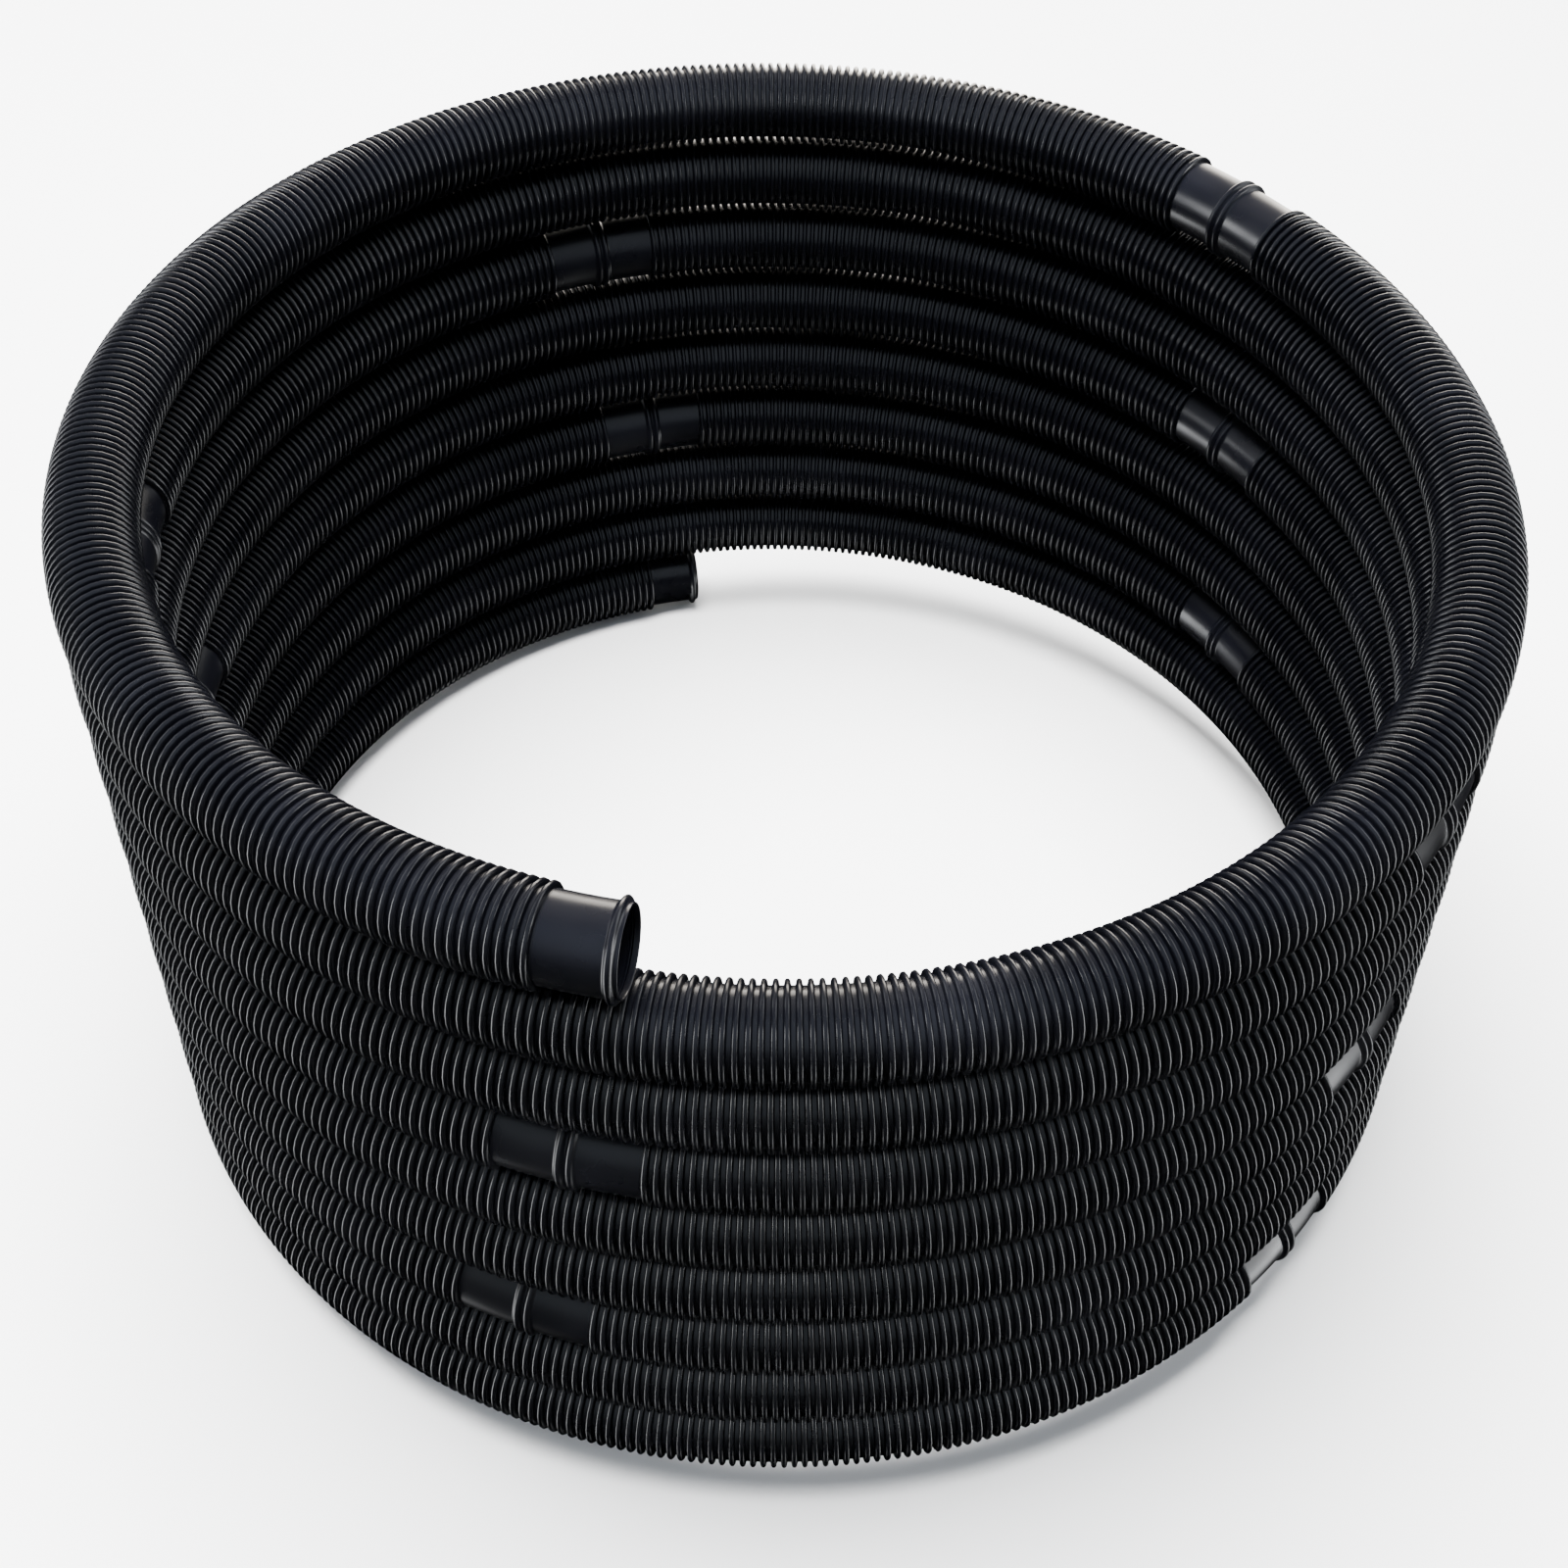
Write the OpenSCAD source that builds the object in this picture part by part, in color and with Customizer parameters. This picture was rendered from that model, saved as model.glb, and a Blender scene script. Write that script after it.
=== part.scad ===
// Corrugated pool vacuum hose, wound into a cylindrical coil that stands on its lowest turn.
// Origin on the coil's axis at floor level, +Z up. Travel is the angle run along the hose from
// its top mouth, clockwise as seen from above, with the hose sinking by one pitch a turn.

/* [Hose] */
// Length of one section, from cut line to cut line
section_length = 1100; // [900:10:1400]
// How far the ridges stand above the smooth cuffs
ridge_height = 2.5; // [1.5:0.1:4]
// Wall of the plain tube that holds as much material as the corrugated wall
tube_wall = 1.4; // [0.8:0.1:2]

/* [Cuffs] */
// Bore of the smooth cuffs
cuff_bore = 32; // [26:0.5:39]
// Wall of the smooth cuffs
cuff_wall = 1; // [0.6:0.1:1.4]
// Length of smooth land from a bead's crest to the first ridge
land_length = 25.2; // [18:0.2:34]
// How far a bead's crest stands above the land
bead_height = 2.2; // [1.2:0.1:2.8]
// Distance from an open end's bead crest to its mouth
lip_length = 3.2; // [2.4:0.1:5]

/* [Coil] */
// Diameter of the coil at the hose's centreline
coil_diameter = 580.8; // [460:0.2:720]
// Gap between one turn and the next
turn_gap = 0.5; // [0.4:0.1:2]
// Direction from the axis to the top mouth, anticlockwise from +X
mouth_direction = 259; // [0:1:359]

/* [Free ends] */
// Travel from a mouth to the flexing place nearest to it
tip_travel = 20; // [14:1:26]
// Travel from a mouth to the flexing place where the free end leaves the coil
root_travel = 56; // [45:1:70]
// Largest bend at the flexing place nearest to a mouth
tip_bend = 20; // [0:1:25]
// Largest bend where a free end leaves the coil
root_bend = 30; // [0:1:35]

/* [Hidden] */
sections = 14;
arc_advance = 18;
ring_thickness = 1.8;
ring_proud = 0.3;
bead_spacing = 4.2;
bead_width = 3;
bead_round = 1.8;
groove_round = 0.9;
joint_slack = 0.3;
knuckle_slack = 0.6;
knuckle_wall = 1.5;
round_fn = 96;

coil_r = coil_diameter/2;
bore_r = cuff_bore/2;
rim_r = bore_r + cuff_wall/4;
land_r = bore_r + cuff_wall;
bead_r = land_r + bead_height;
tube_r = land_r + ridge_height;
skin_r = tube_r - ring_proud;
turn_pitch = 2*max(tube_r, bead_r) + turn_gap;
slope = atan(turn_pitch/(PI*coil_diameter));
bend_r = coil_r/pow(cos(slope), 2);
mm_per_degree = PI*coil_diameter/(360*cos(slope));
section_travel = section_length/mm_per_degree;
last_travel = sections*section_travel;
half_cuff = (bead_spacing/2 + land_length)/mm_per_degree;
end_cuff_length = lip_length + land_length;
end_cuff = end_cuff_length/mm_per_degree;
lowest_centre = max(bead_r, tube_r - turn_pitch*end_cuff/360);
tip_gap = (tube_r*tan(tip_bend/2) + joint_slack)/mm_per_degree;
root_gap = (tube_r*tan(root_bend/2) + joint_slack)/mm_per_degree;
ball_r = skin_r - tube_wall - knuckle_slack;

function two_digits(i) = i < 10 ? str("0", i) : str(i);
function length_name(i) = str("hose_length_", two_digits(i));
function cuff_name(i) = str("double_cuff_", two_digits(i));

// Height of the centreline above the floor at a travel
function height(travel) = lowest_centre + turn_pitch*(last_travel - travel)/360;

// A flat arc that advances by a given travel, and meets the next one with their tangents in line,
// has this tilt about the radius through its middle, and this half angle about its own centre.
function arc_tilt(advance) =
    let (rise = turn_pitch*advance/720/bend_r, t = tan(advance/2))
    let (a = 1 - rise*rise)
    acos(sqrt((a + sqrt(a*a - 4*rise*rise/(t*t)))/2));
function arc_half(advance) = atan(tan(advance/2)*cos(arc_tilt(advance)));

// Where each section's corrugated length begins and ends, clear of the free ends
function length_start(i) = i == 1 ? root_travel + root_gap : (i - 1)*section_travel + half_cuff;
function length_end(i) =
    i == sections ? last_travel - root_travel - root_gap : i*section_travel - half_cuff;

// Puts children at a travel, with +Z along the hose, away from the top mouth
module across(travel) {
    rotate([0, 0, mouth_direction - travel])
        translate([coil_r, 0, height(travel)])
            rotate([90 + slope, 0, 0])
                children();
}

// A flat ring round the hose: it begins at a travel and is as thick as stated along the hose,
// or back towards the top mouth where the thickness is below zero
module ring(travel, thickness, outer, inner) {
    across(travel)
        rotate_extrude($fn = round_fn)
            translate([inner, min(thickness, 0)])
                square([outer - inner, abs(thickness)]);
}

// A bent tube with open ends from one travel to another, as one flat arc
module bent_tube(first, last, outer, inner) {
    advance = last - first;
    tilt = arc_tilt(advance);
    half = arc_half(advance);
    rotate([0, 0, mouth_direction - (first + last)/2])
        translate([-bend_r*cos(half)*pow(sin(tilt), 2), 0, height((first + last)/2)])
            rotate([tilt, 0, 0])
                rotate([0, 0, -half])
                    rotate_extrude(angle = 2*half, $fn = round_fn)
                        translate([bend_r, 0])
                            difference() {
                                circle(r = outer, $fn = round_fn);
                                circle(r = inner, $fn = round_fn);
                            }
}

// The corrugated hose between two travels: bent tubes end to end, each pair held in a ring that
// stands for a ridge. An end that is closed has a wall in to the cuff that it meets face to face.
module corrugated(first, last, close_first = true, close_last = true) {
    arcs = ceil((last - first)/arc_advance);
    advance = (last - first)/arcs;
    seat = ring_thickness/mm_per_degree;
    bite = seat/3;
    color("#1c1c21") {
        for (k = [0:arcs - 1]) {
            begin = first + k*advance + (k > 0 ? seat/2 - bite : close_first ? bite : 0);
            end = first + (k + 1)*advance - (k < arcs - 1 ? seat/2 - bite : close_last ? bite : 0);
            bent_tube(begin, end, skin_r, skin_r - tube_wall);
        }
        for (k = [1:1:arcs - 1])
            ring(first + k*advance - seat/2, ring_thickness, tube_r, skin_r - tube_wall - ring_proud);
        if (close_first) ring(first, ring_thickness, tube_r, rim_r);
        if (close_last) ring(last, -ring_thickness, tube_r, rim_r);
    }
}

// The ball that keeps a flexing place closed: it is fixed to the piece whose ring it is in
// and turns inside the open tube beyond.
module knuckle(travel) {
    color("#1c1c21")
        across(travel)
            difference() {
                sphere(r = ball_r, $fn = round_fn);
                cylinder(h = 3*ball_r, r = bore_r - knuckle_wall, center = true, $fn = round_fn);
            }
}

// Two smooth cuffs in one piece, each with a bead, and the groove to cut along between them
module double_cuff(i) {
    middle = i*section_travel;
    color("#202127") {
        bent_tube(middle - half_cuff, middle + half_cuff, land_r, bore_r);
        for (crest = [-bead_spacing/2, bead_spacing/2])
            ring(middle + (crest - bead_width/2)/mm_per_degree, bead_width, bead_r, bore_r + cuff_wall/2);
    }
}

// Half section of an open end, from the first ridge to the mouth along +Y
module end_cuff_outline() {
    middle = bead_r - bead_round;
    difference() {
        union() {
            translate([bore_r, 0])
                square([cuff_wall, end_cuff_length]);
            translate([middle, land_length])
                circle(r = bead_round, $fn = round_fn);
        }
        translate([middle, land_length])
            circle(r = groove_round, $fn = round_fn);
        translate([bore_r - bead_round, land_length - groove_round])
            square([middle - bore_r + bead_round, 2*groove_round]);
        translate([0, land_length - bead_round - 1])
            square([bore_r, 2*bead_round + 2]);
    }
}

// A straight open end, in line with the hose at a travel and turned by an angle about the radius
module open_end(travel, turn) {
    color("#202127")
        across(travel)
            rotate([turn, 0, 0])
                rotate_extrude($fn = round_fn)
                    end_cuff_outline();
}

module end_cuff_top() open_end(end_cuff, 180);
module end_cuff_bottom() open_end(last_travel - end_cuff, 0);

module free_end_top_tip() {
    corrugated(end_cuff, tip_travel - tip_gap);
    knuckle(tip_travel);
}

module free_end_top_root() {
    corrugated(tip_travel + tip_gap, root_travel - root_gap, close_first = false);
    knuckle(root_travel);
}

module free_end_bottom_root() {
    corrugated(last_travel - root_travel + root_gap, last_travel - tip_travel - tip_gap, close_last = false);
    knuckle(last_travel - root_travel);
}

module free_end_bottom_tip() {
    corrugated(last_travel - tip_travel + tip_gap, last_travel - end_cuff);
    knuckle(last_travel - tip_travel);
}

module hose_length(i) {
    corrugated(length_start(i), length_end(i), close_first = i > 1, close_last = i < sections);
}

end_cuff_top();
free_end_top_tip();
free_end_top_root();
for (i = [1:sections])
    hose_length(i);
for (i = [1:sections - 1])
    double_cuff(i);
free_end_bottom_root();
free_end_bottom_tip();
end_cuff_bottom();
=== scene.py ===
"""A corrugated pool vacuum hose, wound into an upright coil: its surfaces, finishes and studio."""

import bpy
import numpy as np
from mathutils import Matrix


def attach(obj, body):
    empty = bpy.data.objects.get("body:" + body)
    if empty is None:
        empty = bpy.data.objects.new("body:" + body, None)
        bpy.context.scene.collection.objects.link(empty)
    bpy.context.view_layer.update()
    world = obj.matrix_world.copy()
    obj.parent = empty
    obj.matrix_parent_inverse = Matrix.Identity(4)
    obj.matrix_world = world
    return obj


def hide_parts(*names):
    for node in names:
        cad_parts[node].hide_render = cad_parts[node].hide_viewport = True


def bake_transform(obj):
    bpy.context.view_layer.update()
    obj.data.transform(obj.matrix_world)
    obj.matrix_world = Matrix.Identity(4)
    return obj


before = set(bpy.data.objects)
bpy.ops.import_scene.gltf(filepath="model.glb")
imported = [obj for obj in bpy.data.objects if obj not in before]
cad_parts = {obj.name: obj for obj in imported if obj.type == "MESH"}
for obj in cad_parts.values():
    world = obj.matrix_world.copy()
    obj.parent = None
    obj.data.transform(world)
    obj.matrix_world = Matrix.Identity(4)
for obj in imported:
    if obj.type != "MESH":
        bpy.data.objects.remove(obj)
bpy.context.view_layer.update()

# ---- Sizes of the hose and its coil, in metres; angles in radians ----
SECTIONS = 14
SECTION = 1.1
HOSE = SECTIONS * SECTION
COIL_RADIUS = 0.2904
RIDGE_RADIUS = 0.0195
LAND_RADIUS = 0.017
BORE_RADIUS = 0.016
BEAD_RADIUS = 0.0192
BEAD_SPACING = 0.0042
LAND_LENGTH = 0.0252
LIP_LENGTH = 0.0032
TURN_GAP = 0.0005
MOUTH_DIRECTION = np.radians(259)

TURN_PITCH = 2 * RIDGE_RADIUS + TURN_GAP
PER_RADIAN = np.hypot(COIL_RADIUS, TURN_PITCH / (2 * np.pi))
SLOPE = np.arctan2(TURN_PITCH, 2 * np.pi * COIL_RADIUS)
HALF_CUFF = BEAD_SPACING / 2 + LAND_LENGTH
END_CUFF = LIP_LENGTH + LAND_LENGTH

# ---- Finer sizes of the moulding ----
RIDGE_PITCH = 0.00425
WALL = 0.0008
VALLEY_RADIUS = 0.0171
RIDGE_STEPS = (0.17, 0.21, 0.26, 0.37, 0.5, 0.63, 0.74, 0.79, 0.83)
RIDGE_RISES = (0, 0.3, 0.72, 0.96, 1, 0.96, 0.72, 0.3, 0)
AROUND = 26
CUFF_AROUND = 56
SKIN_STEP = 0.012
BEAD_HALF_WIDTH = 0.0018
BEAD_STEPS = 7
BEAD_FOOT = 0.0006
LAND_STEPS = 5
LIP_STEPS = 4
SHARP_EDGE = np.radians(70)
GROOVE_DEPTH = 0.0014
GROOVE_HALF_WIDTH = 0.0009

# ---- Where the free ends' surfaces are divided, as travel from a mouth ----
TIP_SPLIT = np.radians(28)
ROOT_SPLIT = np.radians(95)


def centreline(s):
    """Places along the hose, s metres from the top mouth. The centreline is a helix that runs clockwise
    and sinks one pitch a turn: angle = mouth - s / metres per radian, height = lowest + what is left to
    sink. Returns the centre and three directions: along, out from the coil's axis, and up."""
    angle = MOUTH_DIRECTION - s / PER_RADIAN
    zero = np.zeros_like(angle)
    out = np.stack([np.cos(angle), np.sin(angle), zero], -1)
    level = np.stack([np.sin(angle), -np.cos(angle), zero], -1)
    along = level * np.cos(SLOPE) - np.array([0, 0, np.sin(SLOPE)])
    up = np.cross(along, out)
    height = BEAD_RADIUS + (HOSE - s) * np.sin(SLOPE)
    centre = out * COIL_RADIUS + height[..., None] * np.array([0, 0, 1])
    return centre, along, out, up


def at_travel(travel):
    """The distance along the hose at a travel round the coil from the top mouth."""
    return travel * PER_RADIAN


def swept(name, wall, around, material):
    """A piece whose wall is a closed loop of (distance along the hose, radius) pairs, carried round the
    centreline: point = centre + radius * (out * cos t + up * sin t), for t from 0 to a full turn."""
    wall = np.asarray(wall, float)
    rows = len(wall)
    centre, _, out, up = centreline(wall[:, 0])
    turn = 2 * np.pi * np.arange(around) / around
    spoke = out[:, None] * np.cos(turn)[None, :, None] + up[:, None] * np.sin(turn)[None, :, None]
    points = centre[:, None] + wall[:, 1, None, None] * spoke

    row, column = np.meshgrid(np.arange(rows), np.arange(around), indexing="ij")
    next_row = (row + 1) % rows
    next_column = (column + 1) % around
    corners = np.stack([
        row * around + column,
        row * around + next_column,
        next_row * around + next_column,
        next_row * around + column,
    ], -1).reshape(-1, 4)

    mesh = bpy.data.meshes.new(name)
    mesh.vertices.add(rows * around)
    mesh.vertices.foreach_set("co", points.reshape(-1))
    mesh.loops.add(corners.size)
    mesh.loops.foreach_set("vertex_index", corners.reshape(-1))
    mesh.polygons.add(len(corners))
    mesh.polygons.foreach_set("loop_start", np.arange(len(corners)) * 4)
    mesh.update(calc_edges=True)

    reach = wall[:, 0]
    reach_next = reach[(np.arange(rows) + 1) % rows]
    grid = np.empty((rows, around, 4, 2))
    grid[..., 0, 0] = grid[..., 1, 0] = reach[:, None]
    grid[..., 2, 0] = grid[..., 3, 0] = reach_next[:, None]
    grid[..., 0, 1] = grid[..., 3, 1] = np.arange(around) / around
    grid[..., 1, 1] = grid[..., 2, 1] = (np.arange(around) + 1) / around
    layer = mesh.uv_layers.new(name="along_and_around")
    layer.data.foreach_set("uv", grid.reshape(-1))

    mesh.polygons.foreach_set("use_smooth", np.ones(len(corners), bool))
    mesh.set_sharp_from_angle(angle=SHARP_EDGE)
    mesh.materials.append(material)
    piece = bpy.data.objects.new(name, mesh)
    bpy.context.scene.collection.objects.link(piece)
    return piece


def ridges(first, last):
    """The outer line of a corrugated stretch: blunt ridges with steep flanks between flat valleys. Each
    is given by its rises at some shares of the pitch, from a valley's middle to the next one's."""
    count = int(round((last - first) / RIDGE_PITCH))
    share = np.array(RIDGE_STEPS)
    edges = np.linspace(first, last, count + 1)
    reach = (edges[:-1, None] + share[None] * (last - first) / count).reshape(-1)
    radius = VALLEY_RADIUS + (RIDGE_RADIUS - VALLEY_RADIUS) * np.tile(RIDGE_RISES, count)
    ends = [first, VALLEY_RADIUS], [last, VALLEY_RADIUS]
    return np.concatenate([ends[:1], np.stack([reach, radius], -1), ends[1:]])


def skin(first, last):
    """The smooth inner line of a stretch, as a few places along the bore."""
    steps = max(2, int(np.ceil((last - first) / SKIN_STEP)) + 1)
    reach = np.linspace(first, last, steps)
    return np.stack([reach, np.full(steps, BORE_RADIUS)], -1)


def corrugated_wall(first, last, ribbed_inside=False):
    """The closed wall of a corrugated stretch: the ridges outside, and inside either the smooth bore or
    the same ridges one wall thickness further in."""
    outside = ridges(first, last)
    if ribbed_inside:
        inside = outside.copy()
        inside[:, 1] = np.maximum(inside[:, 1] - WALL, BORE_RADIUS)
    else:
        inside = skin(first, last)
    return np.concatenate([outside, inside[::-1]])


def bead(middle, height, half_width, base, steps=BEAD_STEPS):
    """A rounded bead: height above its base = height * cos^(2/3) of the way across."""
    share = np.linspace(-1, 1, steps)
    rise = np.clip(np.cos(share * np.pi / 2), 0, 1) ** (2 / 3)
    return np.stack([middle + share * half_width, base + height * rise], -1)


def double_cuff_wall(middle):
    """The closed wall of two cuffs moulded end to end: a smooth land, a bead, the narrow valley that is
    cut along to part two sections, a bead and a land."""
    height = BEAD_RADIUS - LAND_RADIUS
    land = np.linspace(HALF_CUFF, BEAD_SPACING / 2 + BEAD_HALF_WIDTH + BEAD_FOOT, LAND_STEPS)
    before = np.stack([middle - land, np.full(LAND_STEPS, LAND_RADIUS)], -1)
    after = np.stack([middle + land[::-1], np.full(LAND_STEPS, LAND_RADIUS)], -1)
    first = bead(middle - BEAD_SPACING / 2, height, BEAD_HALF_WIDTH, LAND_RADIUS)
    second = bead(middle + BEAD_SPACING / 2, height, BEAD_HALF_WIDTH, LAND_RADIUS)
    outside = np.concatenate([before, first, second, after])
    groove = [bead(middle + side * BEAD_SPACING / 2, GROOVE_DEPTH, GROOVE_HALF_WIDTH, BORE_RADIUS, 5)
              for side in (-1, 1)]
    ends = np.array([[middle - HALF_CUFF, BORE_RADIUS]]), np.array([[middle + HALF_CUFF, BORE_RADIUS]])
    inside = np.concatenate([ends[0], groove[0], groove[1], ends[1]])
    return np.concatenate([outside, inside[::-1]])


def end_cuff_wall(mouth, inward):
    """The closed wall of an open end: a rounded lip, a bead that is hollow inside, and a smooth land.
    mouth is the lip's place along the hose and inward is +1 or -1, the way into the hose."""
    height = BEAD_RADIUS - LAND_RADIUS
    corner = np.linspace(0, np.pi / 2, LIP_STEPS)
    middle = (LAND_RADIUS + BORE_RADIUS) / 2
    half = (LAND_RADIUS - BORE_RADIUS) / 2
    lip_out = np.stack([half * (1 - np.sin(corner)), middle + half * np.cos(corner)], -1)[::-1]
    lip_in = np.stack([half * (1 - np.sin(corner)), middle - half * np.cos(corner)], -1)
    raised = bead(LIP_LENGTH, height, BEAD_HALF_WIDTH, LAND_RADIUS, 9)
    groove = bead(LIP_LENGTH, GROOVE_DEPTH, GROOVE_HALF_WIDTH, BORE_RADIUS, 7)
    land = np.linspace(LIP_LENGTH + BEAD_HALF_WIDTH + BEAD_FOOT, END_CUFF, LAND_STEPS)
    outside = np.concatenate([lip_out, raised, np.stack([land, np.full(LAND_STEPS, LAND_RADIUS)], -1)])
    inside = np.concatenate([lip_in[:-1], groove, [[END_CUFF, BORE_RADIUS]]])
    wall = np.concatenate([outside, inside[::-1]])
    wall[:, 0] = mouth + inward * wall[:, 0]
    return wall if inward > 0 else wall[::-1]


# ---- Shader steps: each value is a number or another node's output ----
def arithmetic(tree, operation, first, second=0):
    step = tree.nodes.new("ShaderNodeMath")
    step.operation = operation
    for socket, value in zip(step.inputs, (first, second)):
        if isinstance(value, (int, float)):
            socket.default_value = value
        else:
            tree.links.new(value, socket)
    return step.outputs["Value"]


def ramp(tree, value, begin, end, first, last, form="SMOOTHERSTEP"):
    """A smooth change from first to last while a value goes from begin to end, and none beyond."""
    curve = tree.nodes.new("ShaderNodeMapRange")
    curve.interpolation_type = form
    for name, number in (("From Min", begin), ("From Max", end), ("To Min", first), ("To Max", last)):
        curve.inputs[name].default_value = number
    tree.links.new(value, curve.inputs["Value"])
    return curve.outputs["Result"]


def noise(tree, scale, detail, vector):
    texture = tree.nodes.new("ShaderNodeTexNoise")
    texture.inputs["Scale"].default_value = scale
    texture.inputs["Detail"].default_value = detail
    tree.links.new(vector, texture.inputs["Vector"])
    return texture.outputs["Fac"]


def axes(tree, vector):
    """A vector's three parts."""
    split = tree.nodes.new("ShaderNodeSeparateXYZ")
    tree.links.new(vector, split.inputs["Vector"])
    return split.outputs["X"], split.outputs["Y"], split.outputs["Z"]


# ---- Finishes: grain, marks and patches as noise scales, the parting line in shares of half a turn ----
GRAIN = 2600
DRAW_MARKS = 1400
GLOSS_PATCHES = 38
TONE_PATCHES = 14
PARTING_PLACE = 0.36
PARTING_WIDTH = 0.006
GLOSS_LESS = 0.035
GLOSS_MORE = 0.05
TONE_GAIN = 1.7
TONE_LIFT = 0.0006
GRAIN_RELIEF = 0.5
DRAWN_RELIEF = 0.35
PARTING_RELIEF = 1.5
BUMP_STRENGTH = 0.35
BUMP_DISTANCE = 0.00004


def satin_black(name, base, roughness):
    """Black polyethylene with a satin skin. A fine grain and faint marks round the hose are in its bump,
    with the faint line of the mould's two halves. Broad soft changes are in its gloss and tone."""
    material = bpy.data.materials.new(name)
    material.use_nodes = True
    tree = material.node_tree
    nodes, links = tree.nodes, tree.links
    shader = nodes["Principled BSDF"]
    shader.inputs["Specular IOR Level"].default_value = 0.5
    place = nodes.new("ShaderNodeTexCoord").outputs["Object"]
    lay = nodes.new("ShaderNodeUVMap")
    lay.uv_map = "along_and_around"

    gloss = ramp(tree, noise(tree, GLOSS_PATCHES, 3, place), 0.3, 0.7,
                 roughness - GLOSS_LESS, roughness + GLOSS_MORE, "SMOOTHSTEP")
    links.new(gloss, shader.inputs["Roughness"])
    tone = nodes.new("ShaderNodeMix")
    tone.data_type = "RGBA"
    tone.inputs[6].default_value = (*base, 1)
    tone.inputs[7].default_value = (*(TONE_GAIN * part + TONE_LIFT for part in base), 1)
    bloom = ramp(tree, noise(tree, TONE_PATCHES, 4, place), 0.45, 0.75, 0, 1, "SMOOTHSTEP")
    links.new(bloom, tone.inputs[0])
    links.new(tone.outputs[2], shader.inputs["Base Color"])

    turn = arithmetic(tree, "MULTIPLY", axes(tree, lay.outputs["UV"])[1], 2)
    half = arithmetic(tree, "FRACT", arithmetic(tree, "ADD", turn, PARTING_PLACE))
    aside = arithmetic(tree, "ABSOLUTE", arithmetic(tree, "SUBTRACT", half, 0.5))
    parting = ramp(tree, aside, 0, PARTING_WIDTH, 1, 0, "SMOOTHSTEP")
    stretched = nodes.new("ShaderNodeVectorMath")
    stretched.operation = "MULTIPLY"
    stretched.inputs[1].default_value = (DRAW_MARKS, 3, 1)
    links.new(lay.outputs["UV"], stretched.inputs[0])
    drawn = arithmetic(tree, "MULTIPLY", noise(tree, 1, 2, stretched.outputs["Vector"]), DRAWN_RELIEF)
    grain = arithmetic(tree, "MULTIPLY", noise(tree, GRAIN, 2, place), GRAIN_RELIEF)
    seam = arithmetic(tree, "MULTIPLY", parting, PARTING_RELIEF)
    bump = nodes.new("ShaderNodeBump")
    bump.inputs["Strength"].default_value = BUMP_STRENGTH
    bump.inputs["Distance"].default_value = BUMP_DISTANCE
    relief = arithmetic(tree, "ADD", arithmetic(tree, "ADD", grain, drawn), seam)
    links.new(relief, bump.inputs["Height"])
    links.new(bump.outputs["Normal"], shader.inputs["Normal"])
    return material


HOSE_BLACK = satin_black("hose_black", (0.0014, 0.0015, 0.0024), 0.25)
CUFF_BLACK = satin_black("cuff_black", (0.0015, 0.0016, 0.0028), 0.29)

# ---- Camera, at standing height in front of the coil ----
LOOK_AT = np.array([0, 0, 0.1327])
CAMERA_DISTANCE = 1.1377
CAMERA_ELEVATION = np.radians(46.72)
CAMERA_AZIMUTH = np.radians(-0.5)
CAMERA_ROLL = np.radians(0.7)
CAMERA_LENS = 53.3
CAMERA_SHIFT = -0.003


def set_up(thing, right, above, back, place):
    """Puts a camera or a light in the scene, at a place, with its back turned the way stated."""
    bpy.context.scene.collection.objects.link(thing)
    thing.matrix_world = Matrix([*np.column_stack([right, above, back, place]).tolist(), [0, 0, 0, 1]])


def studio_camera():
    """A camera in front of the coil: it looks at a point on the coil's axis from above."""
    level = np.array([np.cos(CAMERA_AZIMUTH), np.sin(CAMERA_AZIMUTH), 0])
    front = np.array([level[1], -level[0], 0])
    back = front * np.cos(CAMERA_ELEVATION) + np.array([0, 0, np.sin(CAMERA_ELEVATION)])
    upright = np.cross(back, level)
    right = level * np.cos(CAMERA_ROLL) + upright * np.sin(CAMERA_ROLL)
    above = np.cross(back, right)
    data = bpy.data.cameras.new("camera")
    data.lens = CAMERA_LENS
    data.sensor_width = 36
    data.shift_x = CAMERA_SHIFT
    camera = bpy.data.objects.new("camera", data)
    set_up(camera, right, above, back, LOOK_AT + CAMERA_DISTANCE * back)
    bpy.context.scene.camera = camera


studio_camera()


def cuff(name, wall, node, body):
    """A smooth cuff in place of its CAD solid."""
    piece = swept(name, wall, CUFF_AROUND, CUFF_BLACK)
    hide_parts(node)
    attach(piece, body)
    return piece


def stretch(name, first, last, nodes, ribbed_inside=False):
    """A corrugated stretch in place of the CAD solids that it stands for."""
    piece = swept(name, corrugated_wall(first, last, ribbed_inside), AROUND, HOSE_BLACK)
    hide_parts(*nodes)
    return piece


def valley(travel, first, last):
    """The valley between ridges that is nearest to a travel, in a stretch from first to last."""
    count = int(round((last - first) / RIDGE_PITCH))
    pitch = (last - first) / count
    return first + round((at_travel(travel) - first) / pitch) * pitch


for i in range(1, SECTIONS):
    node = f"double_cuff_{i:02d}"
    cuff(f"{node}_surface", double_cuff_wall(i * SECTION), node, "coil")
top_cuff = cuff("end_cuff_top_surface", end_cuff_wall(0, 1), "end_cuff_top", "top_tip")
bottom_cuff = cuff("end_cuff_bottom_surface", end_cuff_wall(HOSE, -1), "end_cuff_bottom", "bottom_tip")


LAST_TRAVEL = HOSE / PER_RADIAN

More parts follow.
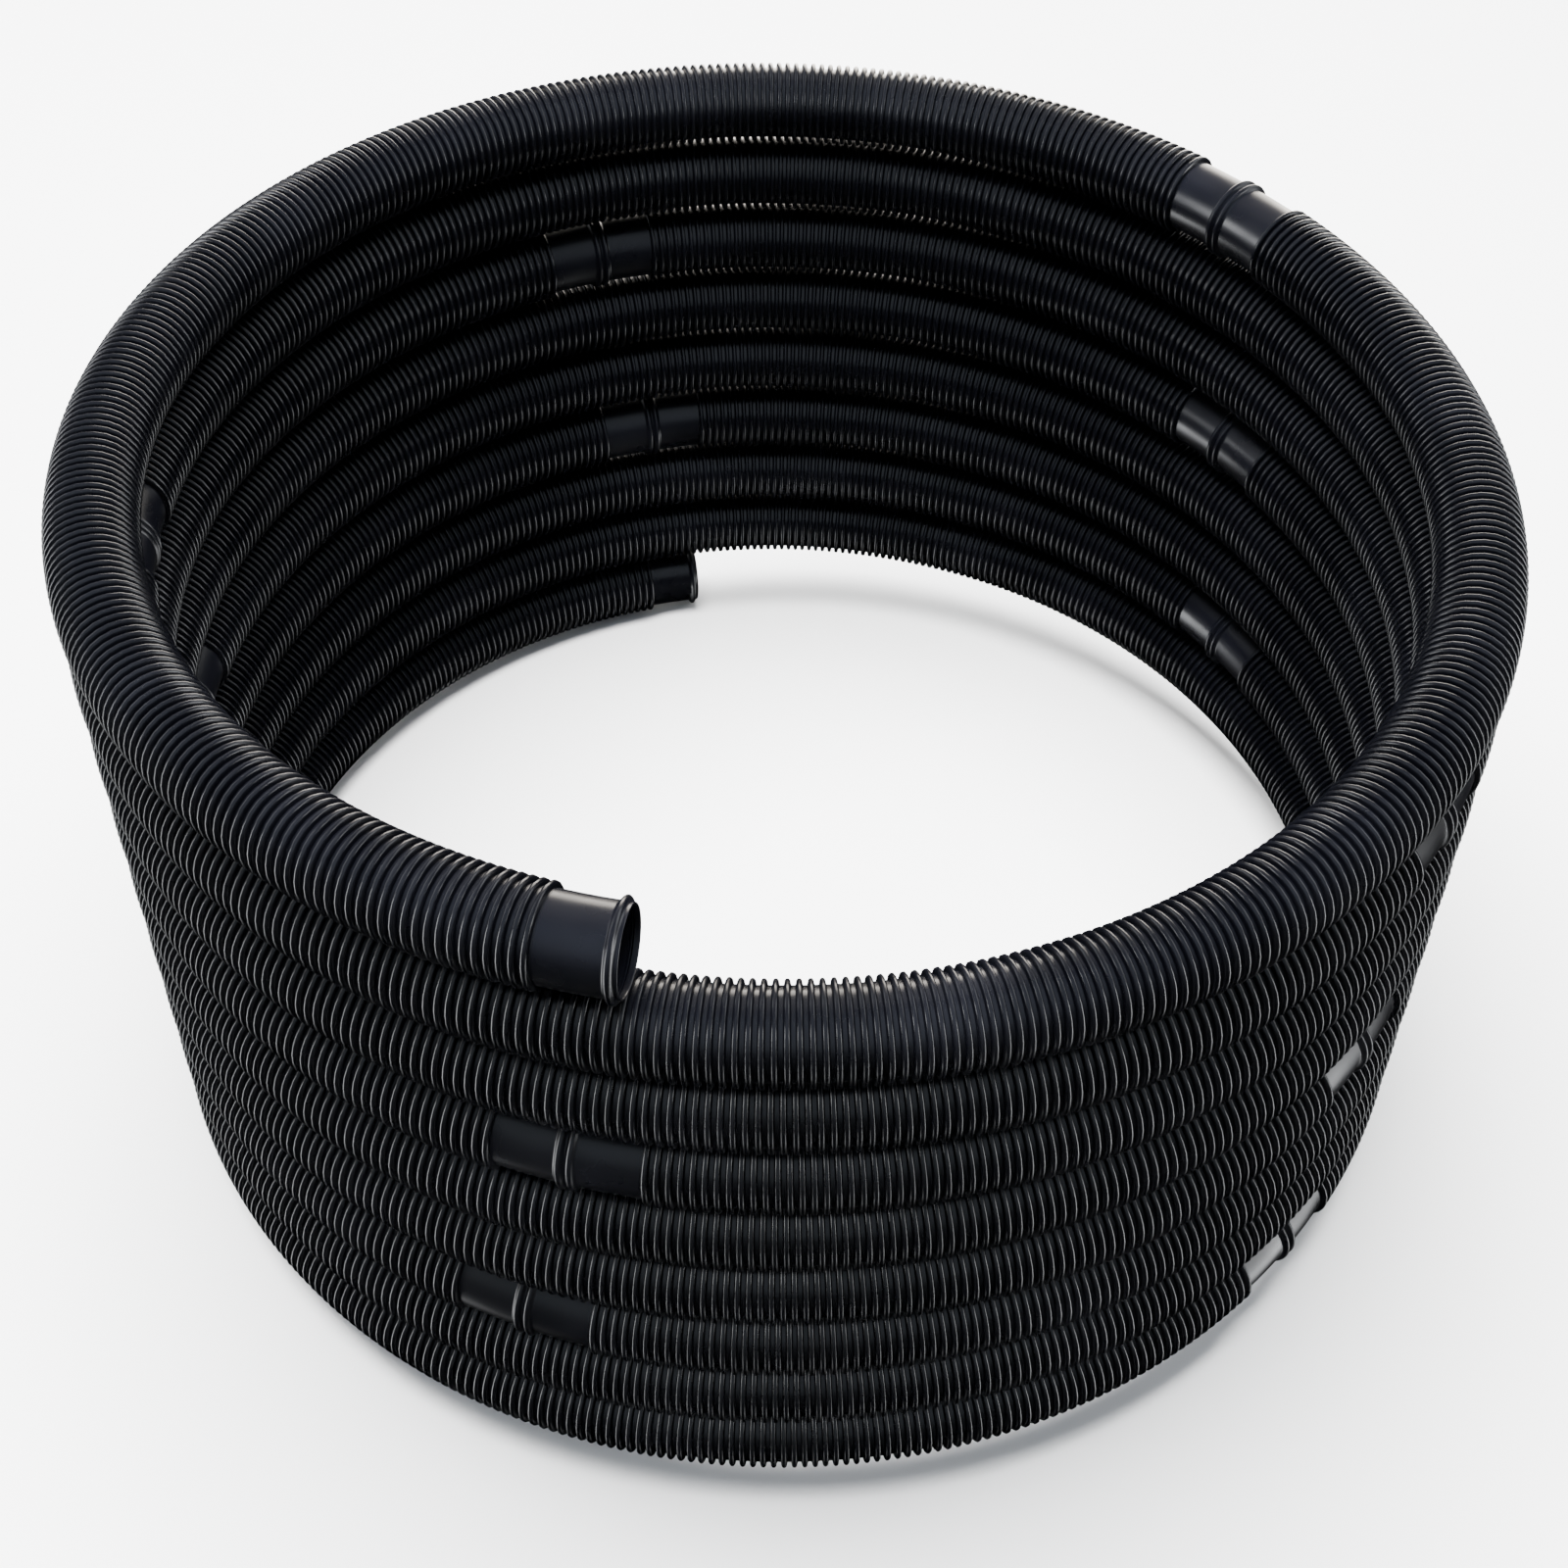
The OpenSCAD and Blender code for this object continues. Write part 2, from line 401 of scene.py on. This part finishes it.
start, stop = END_CUFF, SECTION - HALF_CUFF
tip_split = valley(TIP_SPLIT, start, stop)
root_split = valley(ROOT_SPLIT, start, stop)
tip = stretch("hose_top_tip", start, tip_split, ["free_end_top_tip", "free_end_top_root"], True)
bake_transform(tip)
root = stretch("hose_top_root", tip_split, root_split, ["free_end_top_root", "hose_length_01"])
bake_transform(root)
piece = stretch("hose_length_01_surface", root_split, stop, ["hose_length_01"])
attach(piece, "coil")

for i in range(2, SECTIONS):
    start, stop = (i - 1) * SECTION + HALF_CUFF, i * SECTION - HALF_CUFF
    piece = stretch(f"hose_length_{i:02d}_surface", start, stop, [f"hose_length_{i:02d}"])
    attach(piece, "coil")

start, stop = (SECTIONS - 1) * SECTION + HALF_CUFF, HOSE - END_CUFF
root_split = valley(LAST_TRAVEL - ROOT_SPLIT, start, stop)
tip_split = valley(LAST_TRAVEL - TIP_SPLIT, start, stop)
piece = stretch(f"hose_length_{SECTIONS}_surface", start, root_split, [f"hose_length_{SECTIONS}"])
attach(piece, "coil")
root = stretch("hose_bottom_root", root_split, tip_split,
               [f"hose_length_{SECTIONS}", "free_end_bottom_root"])
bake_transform(root)
tip = stretch("hose_bottom_tip", tip_split, stop, ["free_end_bottom_root", "free_end_bottom_tip"], True)
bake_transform(tip)

# ---- Floor and lights ----
floor_mesh = bpy.data.meshes.new("floor")
floor_mesh.from_pydata([(-4, -4, 0), (4, -4, 0), (4, 4, 0), (-4, 4, 0)], [], [(0, 1, 2, 3)])
floor = bpy.data.objects.new("floor", floor_mesh)
bpy.context.scene.collection.objects.link(floor)
pale = bpy.data.materials.new("pale_floor")
pale.use_nodes = True
pale_shader = pale.node_tree.nodes["Principled BSDF"]
pale_shader.inputs["Roughness"].default_value = 0.9
pale_shader.inputs["Specular IOR Level"].default_value = 0.1
pale_shader.inputs["Base Color"].default_value = (0.9, 0.9, 0.9, 1)
floor.visible_glossy = False
floor_mesh.materials.append(pale)


def soft_box(name, place, aim, size, power):
    """A flat soft light of a width and height, turned towards a point."""
    data = bpy.data.lights.new(name, "AREA")
    data.shape = "RECTANGLE"
    data.size, data.size_y = size
    data.energy = power
    lamp = bpy.data.objects.new(name, data)
    lamp.visible_glossy = False
    back = np.array(place, float) - np.array(aim, float)
    back /= np.linalg.norm(back)
    level = np.cross([0, 0, 1], back)
    level /= np.linalg.norm(level)
    set_up(lamp, level, np.cross(back, level), back, place)


soft_box("overhead_light", place=(-0.3, 0.4, 3.0), aim=(0, 0, 0.2), size=(2.4, 2.4), power=950)


def patch(tree, place, direction, inner, outer):
    """A share of light from around a direction: full inside one angle, fading to none at another."""
    facing = tree.nodes.new("ShaderNodeVectorMath")
    facing.operation = "DOT_PRODUCT"
    facing.inputs[1].default_value = np.array(direction) / np.linalg.norm(direction)
    tree.links.new(place, facing.inputs[0])
    edge, core = np.cos(np.radians([outer, inner]))
    return ramp(tree, facing.outputs["Value"], edge, core, 0, 1)


def side_strip(tree, place, side):
    """A share of light from a tall strip at the left (side -1) or the right (side 1): full where y is
    STRIP_MIDDLE, and fading across its width, towards the plane x = 0, above and, in part, far below."""
    x, y, z = axes(tree, place)
    aside = arithmetic(tree, "ABSOLUTE", arithmetic(tree, "SUBTRACT", y, STRIP_MIDDLE))
    share = ramp(tree, aside, 0, STRIP_WIDTH, 1, 0)
    share = arithmetic(tree, "MULTIPLY", share, ramp(tree, x, side * 0.3, side * 0.75, 0, 1))
    share = arithmetic(tree, "MULTIPLY", share, ramp(tree, z, 0.22, 0.5, 1, 0))
    return arithmetic(tree, "MULTIPLY", share, ramp(tree, z, -0.85, -0.4, 0.3, 1))


STRIP_MIDDLE = -0.17
STRIP_WIDTH = 0.24
COOL = (0.96, 0.98, 1)
WARM = (1, 0.93, 0.84)
NEUTRAL = (1, 0.97, 0.93)
BLUE = (0.76, 0.86, 1)
SKY = (0.88, 0.93, 1)


def studio_world():
    """Soft light all round: tall bright strips at the left and the right, a warm patch low at the back,
    weaker ones above, and a dim rest."""
    world = bpy.data.worlds.new("studio")
    world.use_nodes = True
    tree = world.node_tree
    place = tree.nodes.new("ShaderNodeTexCoord").outputs["Generated"]
    lights = (
        (side_strip(tree, place, -1), 13.5, COOL),
        (side_strip(tree, place, 1), 11.5, COOL),
        (patch(tree, place, (-0.84, 0.4, 0.38), 4, 26), 1.8, COOL),
        (patch(tree, place, (0.84, 0.4, 0.38), 4, 26), 2.6, COOL),
        (patch(tree, place, (0.17, 0.97, 0.0), 3, 30), 11.0, WARM),
        (patch(tree, place, (-0.2, 0.7, 0.7), 5, 40), 0.5, NEUTRAL),
        (patch(tree, place, (0, -0.6, 0.8), 5, 60), 0.55, BLUE),
        (patch(tree, place, (0, 0, 1), 60, 175), 0.14, SKY),
    )
    total = None
    for share, power, colour in lights:
        tint = tree.nodes.new("ShaderNodeVectorMath")
        tint.operation = "SCALE"
        tint.inputs[0].default_value = np.array(colour) * power
        tree.links.new(share, tint.inputs["Scale"])
        sum_so_far = tree.nodes.new("ShaderNodeVectorMath")
        sum_so_far.operation = "ADD"
        tree.links.new(tint.outputs["Vector"], sum_so_far.inputs[0])
        if total is not None:
            tree.links.new(total, sum_so_far.inputs[1])
        total = sum_so_far.outputs["Vector"]
    tree.links.new(total, tree.nodes["Background"].inputs["Color"])
    bpy.context.scene.world = world


studio_world()
